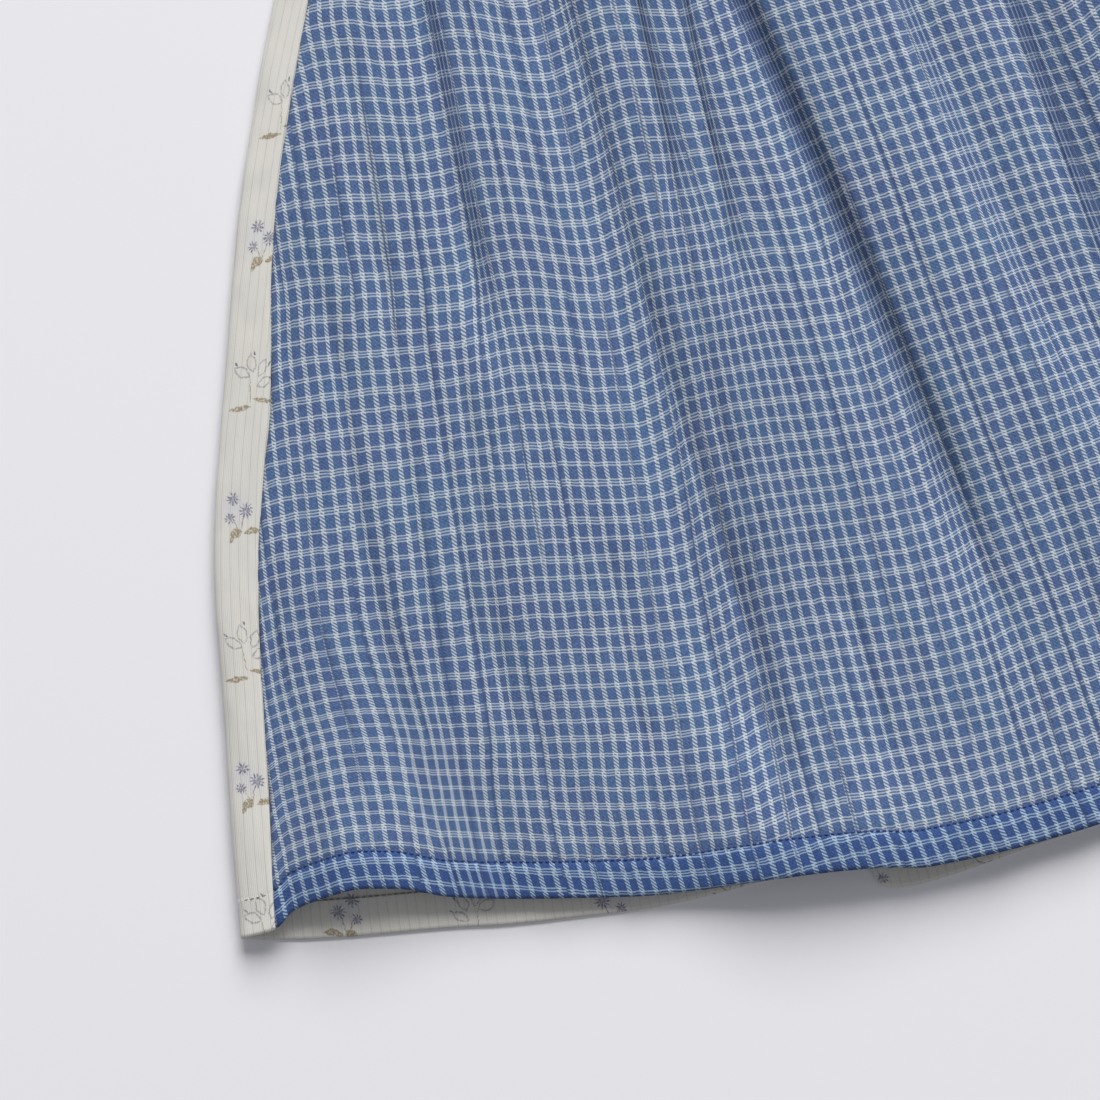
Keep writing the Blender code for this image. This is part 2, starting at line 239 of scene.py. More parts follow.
def smooth_through(xs, ys, at):
    """Cubic pieces through the points, with no overshoot between them."""
    xs = np.asarray(xs, float)
    ys = np.asarray(ys, float)
    step = np.diff(xs)
    rise = np.diff(ys) / step
    before, after = rise[:-1], rise[1:]
    near, far = 2 * step[1:] + step[:-1], step[1:] + 2 * step[:-1]
    same_way = before * after > 0
    safe_before = np.where(same_way, before, 1.0)
    safe_after = np.where(same_way, after, 1.0)
    mean = (near + far) / (near / safe_before + far / safe_after)
    slope = np.concatenate([rise[:1], np.where(same_way, mean, 0.0), rise[-1:]])
    at = np.clip(at, xs[0], xs[-1])
    i = np.clip(np.searchsorted(xs, at) - 1, 0, len(xs) - 2)
    f = (at - xs[i]) / step[i]
    return ((1 + 2 * f) * (1 - f) ** 2 * ys[i] + f * (1 - f) ** 2 * step[i] * slope[i]
            + f * f * (3 - 2 * f) * ys[i + 1] + f * f * (f - 1) * step[i] * slope[i + 1])


def column(rows, key, name, at):
    """One named column of a table, read smoothly along its key column."""
    return smooth_through([getattr(row, key) for row in rows],
                          [getattr(row, name) for row in rows], at)


def ease(value):
    """Smooth step from 0 to 1."""
    value = np.clip(value, 0.0, 1.0)
    return value * value * (3 - 2 * value)


def noise(seed, x, y):
    """Random heights on a unit lattice, joined by smooth steps, between -1 and 1."""
    size = 128
    lattice = np.random.default_rng(seed).uniform(-1, 1, (size, size))
    column_at, row_at = np.floor(x).astype(int), np.floor(y).astype(int)
    fx, fy = ease(x - column_at), ease(y - row_at)
    i, j = column_at % size, row_at % size
    k, m = (i + 1) % size, (j + 1) % size
    low = lattice[i, j] * (1 - fx) + lattice[k, j] * fx
    high = lattice[i, m] * (1 - fx) + lattice[k, m] * fx
    return low * (1 - fy) + high * fy


def fold_run(fold, y):
    """How far down its length a fold has come: 0 at its top, 1 at its low end."""
    return (fold.y_top - y) / (fold.y_top - fold.y_low)


def fold_centre(fold, y):
    """Where a fold's floor lies across the skirt."""
    run = fold_run(fold, y)
    held = np.clip(run, 0.0, 1.0)
    return fold.x_top + (fold.x_low - fold.x_top) * run + fold.bow * 4 * held * (1 - held)


def fold_opens(run):
    """Smooth step from 0 above a fold's top to 1 below it."""
    return ease((run + FOLD_FADE) / (2 * FOLD_FADE))


def trough(fold, x, y):
    """Depth of a fold at a point: a V with a round floor, fading at both ends."""
    run = fold_run(fold, y)
    across = x - fold_centre(fold, y)
    bank = np.where(across > 0, fold.right, fold.left)
    far = np.sqrt(across ** 2 + FOLD_ROUND ** 2) - FOLD_ROUND
    ends = fold_opens(run) * fold_opens(1 - run)
    return fold.drop * ends * np.exp(-far / bank)


def lean(bank, x, y):
    """Sideways shift of the cloth by a fold's steep bank, so that it overhangs the floor."""
    fold = FRONT_FOLDS[bank.fold]
    run = fold_run(fold, y)
    ends = ease((run + FOLD_FADE) / 0.3) * ease((1.0 - run) / 0.4)
    across = (x - fold_centre(fold, y)) * -np.sign(bank.over)
    return (bank.over * ends * ease((across - 1.0) / bank.wide)
            * np.exp(-np.clip(across - bank.wide, 0, None) / LEAN_BACK))


def wave_phase(s, count):
    """Angle of the gathers at share s of the half width, with an uneven pitch."""
    return count * np.pi * (s + 1) + 1.2 * np.sin(5.3 * s) + 0.8 * np.sin(12.1 * s + 1)


def gathers(s, y, count):
    """Height of the gathers: they open below the seam, then die out."""
    below = WAIST_SEAM - y
    open_up = GATHER_AT_SEAM + (GATHER_FULL - GATHER_AT_SEAM) * ease(below / GATHER_OPEN)
    uneven = 0.8 + 0.2 * np.sin(7.7 * s + 0.4)
    return open_up * uneven * np.exp(-(below / GATHER_REACH) ** 2) * np.sin(wave_phase(s, count))


def back_lift(s, x, y):
    """Height of the back panel's underside: flat on the floor between its folds."""
    lift = sum(trough(fold, x, y) for fold in BACK_FOLDS)
    return np.maximum(lift - 0.35, 0) + np.maximum(gathers(s, y, BACK_GATHERS), 0)


def front_mid(s, x, y, above_hem, half_wall):
    """Height of the front panel's middle surface over the floor."""
    crest = column(LOFTS, "y", "crest", y)
    hem = CLOTH + LAYER_GAP + half_wall + column(HEMS, "x", "lift", s * SECTIONS[HEM_SECTION].half)
    near_hem = np.exp(-(above_hem / HEM_REACH) ** 1.5)
    height = crest + (hem - crest) * near_hem
    height = height - sum(trough(fold, x, y) for fold in FRONT_FOLDS + SOFT_FOLDS)
    height = height + gathers(s, y, FRONT_GATHERS)
    lowest = back_lift(s, x, y) + CLOTH + LAYER_GAP + half_wall
    over = height - lowest
    return lowest + 0.5 * (over + np.sqrt(over ** 2 + 2.0))


def wall_half(above_hem):
    """Half the solid wall's thickness: the turned hem is thicker."""
    return np.where(above_hem <= HEM_DEPTH, HEM_WALL, CLOTH) / 2


def row_height(hem_y, row):
    """Height of a row: level with the hem's curve low down, level with the waist on top."""
    return hem_y + row - hem_y * ease(row / WAIST_SEAM)


def side(row):
    """Half width, strip width and fold height of the tube at a row."""
    return [column(SECTIONS, "y", name, row) for name in ("half", "strip", "loop")]


def seam_blend(x, inner):
    """1 at a side seam, 0 from a few fingers' width in."""
    return 1 - ease((inner - np.abs(x)) / SEAM_REACH)


def hem_share(x, half):
    """Where a point's lengthwise line meets the hem, measured across the hem."""
    return x / half * SECTIONS[HEM_SECTION].half


def crinkle(x, y):
    """Soft uneven relief of crinkled gauze, long the way of the warp."""
    broad = 0.9 * noise(11, x / 24 + 0.1 * noise(12, x / 90, y / 70), y / 105)
    middle = 0.45 * noise(13, x / 9 + 0.4 * noise(14, x / 60, y / 50), y / 46)
    fine = 0.16 * noise(15, x / 4.2, y / 17)
    return broad + middle + fine


def rolled_edge(x, y, edge):
    """Relief of the front's edge: a rolled lip, and a groove where the seam puckers it."""
    lip = 0.9 * (1 - ease(edge / 7.0)) - 1.1 * (1 - ease(edge / 1.2))
    groove = 1.6 * edge_pucker(y) * np.exp(-((edge - EDGE_GROOVE) / 2.2) ** 2)
    return lip - groove + 0.35 * noise(22, x / 8.0, y / 11.0) * np.exp(-edge / 8.0)


def sewn_hem(x, row):
    """Relief of the turned hem: puffed, and drawn in along its stitches."""
    puff = ease(row / 3.0) * ease((HEM_DEPTH - row) / 3.0)
    drawn = np.exp(-((row - HEM_DEPTH) / 1.6) ** 2) * (0.75 + 0.25 * noise(21, x / 5.0, row * 0))
    return 0.55 * puff - 0.6 * drawn


# The front's outer face. upright: x before banks lean over; smooth: z without its creases
Laid = namedtuple("Laid", "x y z row hem_y upright smooth")


def front_surface(shares, rows):
    """Outer face of the front: a grid of share across and height above the hem.

    Its height is the loft less the folds, plus gathers and crinkle, and it comes down to the
    side seams, which pucker it.
    """
    share, row = np.meshgrid(shares, rows)
    half, strip, loop = side(row)
    wall = wall_half(row)
    inner = half - strip
    x = share * (inner - SEAM_GAP / 2)
    hem_y = column(HEMS, "x", "front", hem_share(x, half))
    y = row_height(hem_y, row)
    z = front_mid(x / half, x, y, row, wall)
    z = z + (loop - wall - z) * seam_blend(x, inner) + CLOTH / 2
    smooth_z = z
    leant = sum(lean(bank, x, y) for bank in LEANS)
    edge = inner - np.abs(x)
    z = z - sum(trough(fold, x, y) for fold in CREASES) + rolled_edge(x, y, edge)
    z = z + crinkle(x, y) * ease(edge / 12.0) * ease((WAIST_SEAM - y) / 14.0)
    x = x + np.sign(x) * np.exp(-edge / 9.0) * (0.5 + 0.6 * noise(23, x * 0, y / 19.0))
    return Laid(x + leant, y, z + sewn_hem(x, row), row, hem_y, x, smooth_z)


def edge_pucker(y):
    """How much the front's edge is puckered by its seam, at a height: 0 to about 1."""
    return sum(at.tight * np.exp(-((y - at.y) / at.reach) ** 2) for at in PUCKERS)


def hidden(tuck, y):
    """How much cloth a long fold hides at a height: the gathers take up some of it on top."""
    down = np.clip((y - TUCK_END) / (FRONT_FOLDS[tuck.fold].y_top - TUCK_END), 0, 1.05)
    return tuck.hidden * down * (1 - 0.4 * np.exp(-2 * ((WAIST_SEAM - y) / GATHER_REACH) ** 2))


def drawn_in(tuck, x, y):
    """Cloth drawn into a long fold, as a step that widens below the fold's end."""
    fold = FRONT_FOLDS[tuck.fold]
    width = tuck.width + TUCK_SPREAD * ease((fold_run(fold, y) - 0.8) / 0.6)
    return hidden(tuck, y) * ease((x - fold_centre(fold, y) - tuck.aside) / width + 0.5)


def pull(fold, x, y):
    """Cloth drawn into a narrow crease from close by."""
    run = fold_run(fold, y)
    ends = ease(run / 0.4 + 0.3) * ease((1.3 - run) / 0.4)
    across = x - fold_centre(fold, y)
    return (CREASE_TUCK * fold.drop * ends * (ease(across / CREASE_WIDTH + 0.5) - 0.5)
            * np.exp(-np.abs(across) / CREASE_PULL))


def weft_dip(dip, x, y):
    """How far the cloth beside a long fold has slid toward the hem.

    A smooth hollow, whose side away from the fold grows broader lower down.
    """
    fold = FRONT_FOLDS[dip.fold]
    run = fold_run(fold, y)
    ends = fold_opens(run) * ease((DIP_END - run) / 0.4)
    across = x - fold_centre(fold, y) - dip.aside
    broad = dip.wide * (1 + 1.5 * ease((run - 0.5) / 0.4))
    wide = np.where(across * dip.aside > 0, broad, dip.wide)
    return dip.deep * ends * np.exp(-(across / wide) ** 2)


def front_weave(laid):
    """Cloth position of each point: along the weft from the middle, and along the warp.

    Across, the laid length counts with its crinkle, and each fold hides some more. Along,
    the weft lines follow the hem low down and a flatter arc above, and dip beside the folds.
    The third result is how tightly the warp is crowded, from 0 to 1, which masks painted shade in
    the folds.
    """
    x, y, row, hem_y = laid.upright, laid.y, laid.row, laid.hem_y
    step = np.hypot(np.diff(laid.x, axis=1), np.diff(laid.smooth, axis=1)) * FRONT_EASE
    across = np.concatenate([np.zeros((len(x), 1)), np.cumsum(step, axis=1)], axis=1)
    middle_y = y[:, x.shape[1] // 2]
    beside = fold_centre(FRONT_FOLDS[DEEP_FOLD], middle_y) - BESIDE
    start = np.array([np.interp(beside[i], x[i], across[i]) for i in range(len(x))])
    start = start + sum(hidden(tuck, middle_y) for tuck in TUCKS if tuck.fold < DEEP_FOLD)
    across = across - (start - FRONT_EASE * beside)[:, None]
    across = across + sum(drawn_in(tuck, x, y) for tuck in TUCKS)
    across = across + sum(pull(fold, x, y) for fold in CREASES)
    edge = np.abs(x[:, -1:]) - np.abs(x)
    crowding = EDGE_CROWD * edge_pucker(y) * np.exp(-edge / EDGE_CROWD)
    slant = HEM_SLANT * ease((SLANT_FROM - y) / 95.0) * ease((np.abs(x) - 230.0) / 32.0)
    across = across + np.sign(x) * (crowding + slant)
    roping = ROPING * np.clip(HEM_DEPTH - row, 0, None)
    low = np.exp(-(row / WEFT_HEM) ** 2) * (0.3 + 0.5 * ease((np.abs(x) - 150.0) / 120.0))
    arc = WEFT_ARC * np.abs(x / side(row)[0]) ** WEFT_BEND + HEM_LOWEST
    arc = arc - 2.8 * np.exp(-edge / 9.0)
    along = y - (low * hem_y + (1 - low) * arc) + sum(weft_dip(dip, x, y) for dip in DIPS)
    crowd = np.gradient(across, axis=1) / np.gradient(x, axis=1) / FRONT_EASE
    return across - roping, along, np.clip((crowd - 1.5) / 2.5, 0, 1)


def fold_arc(half, over, under, top, low, steps):
    """Rolled fold on the right, from the top inner end down to the underside."""
    angle = np.linspace(np.pi / 2, -np.pi / 2, steps + 1)
    middle = (top + low) / 2
    reach = np.where(angle > 0, over[:, None], under)
    x = half[:, None] - reach * (1 - np.cos(angle))
    return x, middle[:, None] + (top - low)[:, None] / 2 * np.sin(angle)


def back_surface(count, rows):
    """Middle surface of the back: seam, fold, underside, fold, seam, at each height."""
    rows = np.asarray(rows, float)
    half, strip, loop = side(rows)
    wall = wall_half(rows)
    arc_x, arc_z = fold_arc(half, strip, UNDER_ARC, loop - wall, wall, ARC_STEPS)
    arc_x[:, 0] += SEAM_GAP / 2
    edge = (half - UNDER_ARC)[:, None]
    x = np.linspace(-1, 1, count)[None, :] * edge
    y = row_height(column(HEMS, "x", "back", hem_share(x, half[:, None])), rows[:, None])
    z = wall[:, None] + back_lift(x / half[:, None], x, y) * ease((edge - np.abs(x)) / 14.0)
    x = np.concatenate([-arc_x[:, :-1], x, arc_x[:, -2::-1]], axis=1)
    z = np.concatenate([arc_z[:, :-1], z, arc_z[:, -2::-1]], axis=1)
    down = np.linspace(0, 1, ARC_STEPS + 1)[:-1]
    turn = np.concatenate([down, np.ones(count), down[::-1]])[None, :]
    hem_x = hem_share(x, half[:, None])
    hem_y = ((1 - turn) * column(HEMS, "x", "front", hem_x)
             + turn * column(HEMS, "x", "back", hem_x))
    y = row_height(hem_y, rows[:, None])
    row = np.broadcast_to(rows[:, None], x.shape)
    return x, y, z, row, half[:, None]


def back_weave(x, y, z, half):
    """Cloth position on the back: the ribs spread with the flare, the weft sags as the hem."""
    spread = SECTIONS[HEM_SECTION].half / half
    edge = half - UNDER_ARC
    step = np.hypot(np.diff(x, axis=1), np.diff(z, axis=1))
    run = np.concatenate([np.zeros((len(x), 1)), np.cumsum(step, axis=1)], axis=1)
    first = run[:, ARC_STEPS][:, None]
    last = run[:, -ARC_STEPS - 1][:, None]
    columns = np.arange(x.shape[1])[None, :]
    left = columns < ARC_STEPS
    right = columns > x.shape[1] - ARC_STEPS - 1
    across = x * spread
    across = np.where(left, -edge * spread - (first - run), across)
    across = np.where(right, edge * spread + (run - last), across)
    sag = BACK_SAG * (1 - np.clip(np.abs(x) / 335.0, 0, 1) ** WEFT_BEND)
    return across, y + sag


def normals(x, y, z):
    """Unit normals of a grid, from its steps along both ways."""
    grid = np.stack([x, y, z], axis=-1)
    along_rows, along_columns = np.gradient(grid, axis=0), np.gradient(grid, axis=1)
    normal = np.cross(along_columns, along_rows)
    return normal / np.linalg.norm(normal, axis=-1, keepdims=True)


def grid_faces(rows, columns, first=0, turned=False):
    """Four-cornered faces of a grid of points, numbered row by row."""
    corner = first + np.arange(rows - 1)[:, None] * columns + np.arange(columns - 1)[None, :]
    faces = np.stack([corner, corner + 1, corner + columns + 1, corner + columns], axis=-1)
    faces = faces.reshape(-1, 4)
    return faces[:, ::-1] if turned else faces


def rim_faces(rows, columns, inner_first, turned=False):
    """Faces that close a shell's four edges, from its outer grid to its inner one."""
    ids = np.arange(rows * columns).reshape(rows, columns)
    loop = np.concatenate([ids[0, :-1], ids[:-1, -1], ids[-1, :0:-1], ids[:0:-1, 0]])
    after = np.roll(loop, -1)
    faces = np.stack([after, loop, loop + inner_first, after + inner_first], axis=-1)
    return faces[:, ::-1] if turned else faces


def make_mesh(name, points, faces, material):
    """Mesh object at the origin, from points in millimetres and four-cornered faces."""
    mesh = bpy.data.meshes.new(name)
    mesh.vertices.add(len(points))
    mesh.vertices.foreach_set("co", (np.asarray(points) * MM).astype(np.float32).ravel())
    mesh.loops.add(faces.size)
    mesh.loops.foreach_set("vertex_index", faces.astype(np.int32).ravel())
    mesh.polygons.add(len(faces))
    mesh.polygons.foreach_set("loop_start", np.arange(len(faces), dtype=np.int32) * 4)
    mesh.update(calc_edges=True)
    mesh.validate()
    mesh.shade_smooth()
    mesh.materials.append(material)
    piece = bpy.data.objects.new(name, mesh)
    bpy.context.scene.collection.objects.link(piece)
    return piece


def add_uv(piece, name, u, v):
    """UV map in metres of cloth, given at the mesh's points."""
    mesh = piece.data
    layer = mesh.uv_layers.new(name=name)
    corner = np.empty(len(mesh.loops), dtype=np.int32)
    mesh.loops.foreach_get("vertex_index", corner)
    uv = np.column_stack([u[corner], v[corner]]) * MM
    layer.data.foreach_set("uv", uv.astype(np.float32).ravel())


def add_value(piece, name, values):
    """Named number at each point."""
    layer = piece.data.attributes.new(name, "FLOAT", "POINT")
    layer.data.foreach_set("value", values.astype(np.float32))


def shell(name, x, y, z, thickness, material, out, u, v, row):
    """Thin closed shell of cloth: the outer grid, and the same grid moved in."""
    rows, columns = x.shape
    normal = normals(x, y, z) * out
    outer = np.stack([x, y, z], axis=-1)
    inner = outer - normal * thickness[..., None]
    points = np.concatenate([outer.reshape(-1, 3), inner.reshape(-1, 3)])
    count = rows * columns
    turned = out < 0
    faces = np.concatenate([grid_faces(rows, columns, 0, turned),
                            grid_faces(rows, columns, count, not turned),
                            rim_faces(rows, columns, count, turned)])
    piece = make_mesh(name, points, faces, material)
    add_uv(piece, "cloth", np.tile(u.ravel(), 2), np.tile(v.ravel(), 2))
    add_value(piece, "above_hem", np.tile(np.asarray(row).ravel(), 2))
    return piece


def even_rows(count):
    """Heights above the hem, closer where the hem is sewn and where the waist gathers."""
    hem = np.concatenate([np.linspace(0, 14, 9), np.linspace(15, 17.5, 6)])
    rest = np.linspace(19.5, WAIST_SEAM - SEAM_GAP / 2, count - len(hem))
    return np.concatenate([hem, rest])


class Wire:
    """A shader socket that takes part in Python arithmetic."""

    def __init__(self, paint, socket):
        self.paint, self.socket = paint, socket

    def __add__(self, other):
        return self.paint.maths("ADD", self, other)

    __radd__ = __add__

    def __sub__(self, other):
        return self.paint.maths("SUBTRACT", self, other)

    def __rsub__(self, other):
        return self.paint.maths("SUBTRACT", other, self)

    def __mul__(self, other):
        return self.paint.maths("MULTIPLY", self, other)

    __rmul__ = __mul__

    def __truediv__(self, other):
        return self.paint.maths("DIVIDE", self, other)

    def __rtruediv__(self, other):
        return self.paint.maths("DIVIDE", other, self)


class Paint:
    """One material's nodes, with its surface shader ready."""

    def __init__(self, name, roughness):
        self.material = bpy.data.materials.new(name)
        self.material.use_nodes = True
        self.tree = self.material.node_tree
        self.shader = self.tree.nodes["Principled BSDF"]
        self.shader.inputs["Roughness"].default_value = roughness

    def add(self, kind, settings=None, **sockets):
        """New node: its settings first, then values or links of its sockets."""
        node = self.tree.nodes.new(kind)
        for key, value in (settings or {}).items():
            setattr(node, key, value)
        for key, value in sockets.items():
            socket = int(key[1:]) if key[1:].isdigit() else key.replace("_", " ")
            self.feed(node.inputs[socket], value)
        return node

    def feed(self, socket, value):
        """Link a wire to a socket, or set its value."""
        if isinstance(value, Wire):
            self.tree.links.new(value.socket, socket)
        else:
            socket.default_value = value

    def out(self, node, name=0):
        """One output of a node."""
        return Wire(self, node.outputs[name])

    def maths(self, operation, a, b=0.0):
        """Arithmetic on one or two numbers."""
        return self.out(self.add("ShaderNodeMath", {"operation": operation}, _0=a, _1=b))

    def band(self, value, low, high):
        """Smooth step of a value: 0 below low, 1 above high."""
        return self.out(self.add("ShaderNodeMapRange", {"interpolation_type": "SMOOTHSTEP"},
                                 Value=value, From_Min=low, From_Max=high))

    def combine(self, x, y, z=0.0):
        """Vector of three numbers."""
        return self.out(self.add("ShaderNodeCombineXYZ", X=x, Y=y, Z=z))

    def noise(self, x, y, z=0.0, detail=2.0):
        """Smooth random value between 0 and 1 at a place in its own units."""
        node = self.add("ShaderNodeTexNoise", {"noise_dimensions": "3D"},
                        Vector=self.combine(x, y, z), Scale=1.0, Detail=detail)
        return self.out(node, "Fac")

    def mix(self, share, a, b, way="MIX"):
        """Mix of two colours."""
        node = self.add("ShaderNodeMix", {"data_type": "RGBA", "blend_type": way},
                        _0=share, _6=a, _7=b)
        return self.out(node, 2)

    def shade(self, tint, value):
        """Colour times a grey value."""
        tone = tint if isinstance(tint, Wire) else tint[:3]
        node = self.add("ShaderNodeVectorMath", {"operation": "SCALE"}, _0=tone, Scale=value)
        return self.out(node, 0)

    def cloth_position(self):
        """Millimetres along the weft and along the warp, from the cloth's UV map."""
        place = self.add("ShaderNodeUVMap", {"uv_map": "cloth"})
        parts = self.add("ShaderNodeSeparateXYZ", _0=self.out(place, "UV"))
        return self.out(parts, 0) * 1000.0, self.out(parts, 1) * 1000.0

    def value(self, name):
        """Named number of the mesh."""
        return self.out(self.add("ShaderNodeAttribute", {"attribute_name": name}), "Fac")

    def bump(self, height, strength=1.0):
        """Relief in millimetres, fed to the shader's normal."""
        node = self.add("ShaderNodeBump", Strength=strength, Distance=MM, Height=height)
        self.feed(self.shader.inputs["Normal"], self.out(node, "Normal"))


def colour(red, green, blue):
    """Colour as a screen shows it, from 0 to 255, turned to linear light."""
    share = np.array([red, green, blue]) / 255.0
    linear = np.where(share <= 0.04045, share / 12.92, ((share + 0.055) / 1.055) ** 2.4)
    return (*map(float, linear), 1.0)


# Dyes and threads, and the tints of painted shade in the gauze's folds, creases, seam groove and
# hem
INDIGO, TEAL_BLUE, GREY_BLUE = colour(69, 93, 137), colour(69, 101, 141), colour(80, 95, 140)
HEM_BLUE, CREASE_SHADE_BLUE, THREAD_AND_GROOVE_SHADE_BLUE = colour(48, 76, 128), colour(52, 78, 128), colour(44, 68, 118)
FOLD_SHADE_TINT, HEM_TINT_AND_SHADE = colour(150, 166, 200), colour(214, 231, 246)
WHITE_YARN = colour(191, 200, 205)
CREAM, CREAM_SHADE = colour(214, 212, 204), colour(209, 207, 201)
SPRIG_HALO, SPRIG_TAN = colour(196, 197, 212), colour(150, 136, 110)
SPRIG_INK, SPRIG_PLUM = colour(88, 90, 110), colour(76, 78, 112)
THREAD_BLUE, THREAD_BROWN = THREAD_AND_GROOVE_SHADE_BLUE, colour(150, 143, 132)
FLOOR_PALE, FLOOR_PALER = colour(226, 226, 230), colour(227, 227, 231)

# Woven check of the front, in millimetres of cloth
WARP_PITCH = 6.74
WARP_WIDTH = 2.3
WEFT_REPEAT = 16.0
WEFT_LINE = 0.55
WEFT_STEP = 1.25
HATCH_PITCH = 1.7         # of the twill's slanting lines
CREASE_STRIP = 19.0       # from one fine crease to the next


def crease_strips(p, u, v):
    """Strips between fine creases: each one's two shifts, how far a crease is, and its hold."""
    strip = u / CREASE_STRIP + 0.5 * p.noise(u / 160.0, v / 190.0, 3.0)
    cell = p.add("ShaderNodeTexVoronoi", {"voronoi_dimensions": "1D"}, W=strip, Scale=1.0)
    picks = p.add("ShaderNodeSeparateColor", _0=p.out(cell, "Color"))
    border = p.add("ShaderNodeTexVoronoi",
                   {"voronoi_dimensions": "1D", "feature": "DISTANCE_TO_EDGE"}, W=strip, Scale=1.0)
    hold = p.band(p.noise(u / 60.0, v / 90.0, 9.0), 0.38, 0.6)
    return p.out(picks, 0), p.out(picks, 1), p.out(border, "Distance") * CREASE_STRIP, hold


def slipped(p, u, v, side_shift, long_shift, hold):
    """Cloth position where loose threads have slipped, and jumped from strip to strip."""
    across = u + (side_shift - 0.5) * 2.2 * hold + 0.7 * (p.noise(u / 7.0, v / 11.0, 1.0) - 0.5)
    across = across + 3.0 * (p.noise(u / 17.0, v / 150.0, 17.0) - 0.5)
    along = v + (long_shift - 0.5) * 1.4 * hold + 1.5 * (p.noise(u / 11.0, v / 16.0, 5.0) - 0.5)
    along = along + 0.9 * (p.noise(u / 3.4, v / 9.0, 13.0) - 0.5)
    return across, along


def warp_stripe(p, across):
    """1 on a white warp stripe, 0 between stripes."""
    place = p.maths("FRACT", across / WARP_PITCH)
    from_middle = p.maths("ABSOLUTE", place - 0.5) * WARP_PITCH
    return 1 - p.band(from_middle, WARP_WIDTH / 2 - 0.22, WARP_WIDTH / 2 + 0.22)


def weft_lines(p, along):
    """1 on a white weft line: three lines, then two, in each repeat."""
    place = p.maths("FRACT", along / WEFT_REPEAT) * WEFT_REPEAT
    from_three = p.maths("ABSOLUTE", place - WEFT_REPEAT / 4)
    three = p.maths("MINIMUM", from_three, p.maths("ABSOLUTE", from_three - WEFT_STEP))
    from_two = p.maths("ABSOLUTE", place - 3 * WEFT_REPEAT / 4)
    two = p.maths("ABSOLUTE", from_two - WEFT_STEP / 2)
    return 1 - p.band(p.maths("MINIMUM", three, two), WEFT_LINE / 2 - 0.12, WEFT_LINE / 2 + 0.16)


def gauze_ground(p, u, v, across, along):
    """Blue of the ground, uneven in patches and from square to square."""
    patch = p.noise(u / 38.0, v / 30.0, 7.0)
    square = p.combine(p.maths("FLOOR", across / WARP_PITCH + 0.5),
                       p.maths("FLOOR", along / (WEFT_REPEAT / 2)))
    block = p.out(p.add("ShaderNodeTexWhiteNoise", {"noise_dimensions": "2D"}, Vector=square),
                  "Value")
    ground = p.mix(p.band(patch + 0.25 * (block - 0.5), 0.35, 0.65), INDIGO, TEAL_BLUE)
    return p.mix(block * 0.35, ground, GREY_BLUE)


def checked_gauze():
    """Blue crinkled gauze: white warp stripes, and weft lines in threes and twos."""
    p = Paint("checked_gauze", 0.92)
    u, v = p.cloth_position()
    side_shift, long_shift, from_crease, hold = crease_strips(p, u, v)
    across, along = slipped(p, u, v, side_shift, long_shift, hold)

    twill = p.band(p.maths("SINE", (0.8 * across + along) * (2 * np.pi / HATCH_PITCH)), -0.7, 0.7)
    warp = warp_stripe(p, across)
    warp_white = warp * (0.1 + 0.76 * twill)
    weft_white = weft_lines(p, along) * (0.58 + 0.34 * warp)
    white = 1 - (1 - warp_white) * (1 - weft_white)

    yarn = p.noise((across + along) / 0.85, (across - along) / 1.7, 2.0, 1.0)
    hem_band = 1 - p.band(p.value("above_hem"), HEM_DEPTH - 0.4, HEM_DEPTH + 0.6)
    ground = p.mix(hem_band * 0.8, gauze_ground(p, u, v, across, along), HEM_BLUE)
    ground = p.shade(ground, (0.2 + 1.5 * yarn) * (0.83 + 0.34 * twill))
    cloth = p.mix(white, ground, WHITE_YARN)

    # Painted shade: the cloth is darkened beside each fine crease, and a deeper blue line is
    # painted along its core, as the crease's shade
    crease = (1 - p.band(from_crease, 0.0, 2.6)) * hold
    cloth = p.shade(cloth, 1 - 0.2 * crease)
    # Painted shade: where the warp is crowded deep in a long fold, the cloth is multiplied by a
    # dim blue that stands in for the fold's own shade
    cloth = p.mix(p.value("crowd") * 0.8, cloth, FOLD_SHADE_TINT, "MULTIPLY")
    core = (1 - p.band(from_crease, 0.2, 0.75)) * hold
    cloth = p.mix(core * 0.7, cloth, CREASE_SHADE_BLUE)
    # Painted shade: a dark blue line along the hem's sewn line, as shade in the groove that its
    # stitches draw in
    seam_groove_shade = 1 - p.band(p.maths("ABSOLUTE", p.value("above_hem") - HEM_DEPTH), 0.2, 1.4)
    cloth = p.mix(seam_groove_shade * 0.4, cloth, THREAD_AND_GROOVE_SHADE_BLUE)
    # Partly painted shade: the turned hem is multiplied by a deeper blue, partly its doubled
    # cloth's own colour and partly shade
    cloth = p.mix(hem_band, cloth, HEM_TINT_AND_SHADE, "MULTIPLY")
    p.feed(p.shader.inputs["Base Color"], cloth)
    p.shader.inputs["Sheen Weight"].default_value = 0.12
    p.shader.inputs["Sheen Roughness"].default_value = 0.5
    relief = (0.10 * yarn + 0.10 * warp_white + 0.5 * p.noise(u / 3.6, v / 12.0, 4.0)
              - 0.3 * crease + 0.9 * p.noise(u / 9.0, v / 40.0, 6.0))
    p.bump(relief, 0.8)
    return p.material


# Sprig print, in millimetres of cloth
SPRIG_ACROSS = 56.0
SPRIG_ALONG = 120.0
SPRIG_FIRST = (-365.0, 32.0)
SPRIG_SCALE = 1.15
RIB_PITCH = 4.1           # dark line of the cream cotton's weave
CORD_PITCH = 0.82         # and its fine cords

